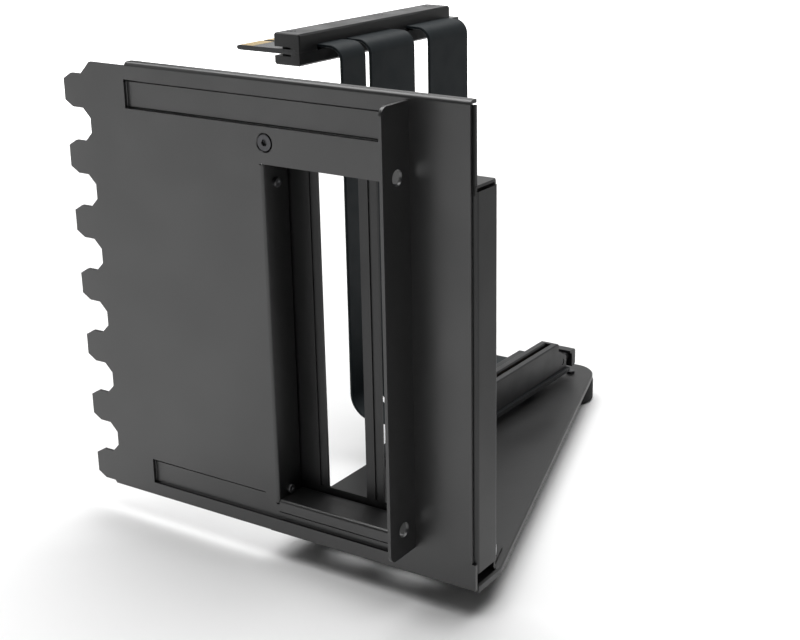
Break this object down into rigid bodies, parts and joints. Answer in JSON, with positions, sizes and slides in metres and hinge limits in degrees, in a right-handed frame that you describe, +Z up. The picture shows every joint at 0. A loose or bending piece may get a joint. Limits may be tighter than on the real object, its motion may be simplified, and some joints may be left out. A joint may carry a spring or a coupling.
{
  "type": "vertical graphics card bracket with riser",
  "caption": "Folded steel bracket that holds a graphics card upright in a computer case, with a riser slot on a tray and ribbons up to a mainboard plug.",
  "frame": {"origin": "centre of the whole object's box in X and Y, on the surface that the foot pad and the plate stand on", "axes": "+X from the finger tips to the side flange along the rear plate, +Y from the plate into the case, +Z up"},
  "size_m": [0.1442, 0.1828, 0.1493],
  "materials": {
    "black_sheet": "matt black powder coat on folded steel sheet",
    "inner_sheet": "matt black powder coat on thin folded steel sheet",
    "tray_sheet": "satin black powder coat on pressed steel",
    "foot_rubber": "matt black rubber",
    "screw_steel": "black zinc-plated steel",
    "nut_steel": "bright zinc-plated steel",
    "board_black": "black solder-masked circuit board",
    "slot_plastic": "satin black moulded plastic",
    "latch_plastic": "satin black moulded plastic",
    "contact_gold": "thin gold plating",
    "plug_plastic": "fine-grained black moulded plastic",
    "ribbon_sleeve": "matt black flexible ribbon jacket"
  },
  "bodies": {
    "bracket": {"rear_plate": "black_sheet", "slot_frame": "inner_sheet", "tray": "tray_sheet", "foot_pad": "foot_rubber", "foot_screw": "screw_steel", "plate_screw": "screw_steel", "flap_screws": "screw_steel", "tray_screws": "screw_steel", "tray_nuts": "nut_steel", "riser_board": "board_black", "riser_spacers": "nut_steel", "riser_screws": "screw_steel", "riser_slot": "slot_plastic", "slot_contacts": "contact_gold", "ribbon_hood": "plug_plastic", "ribbon_front": "ribbon_sleeve", "ribbon_middle": "ribbon_sleeve", "ribbon_rear": "ribbon_sleeve", "connector_board": "board_black", "connector_cover_top": "plug_plastic", "connector_cover_bottom": "plug_plastic", "connector_screws": "screw_steel"},
    "latch": {"slot_latch": "latch_plastic"}
  },
  "joints": [
    {"name": "latch_hinge", "type": "hinge", "parent": "bracket", "child": "latch", "pos_m": [0.01399, 0.07343, 0.0179], "axis": [1, 0, 0], "range_deg": [-10, 0]}
  ]
}
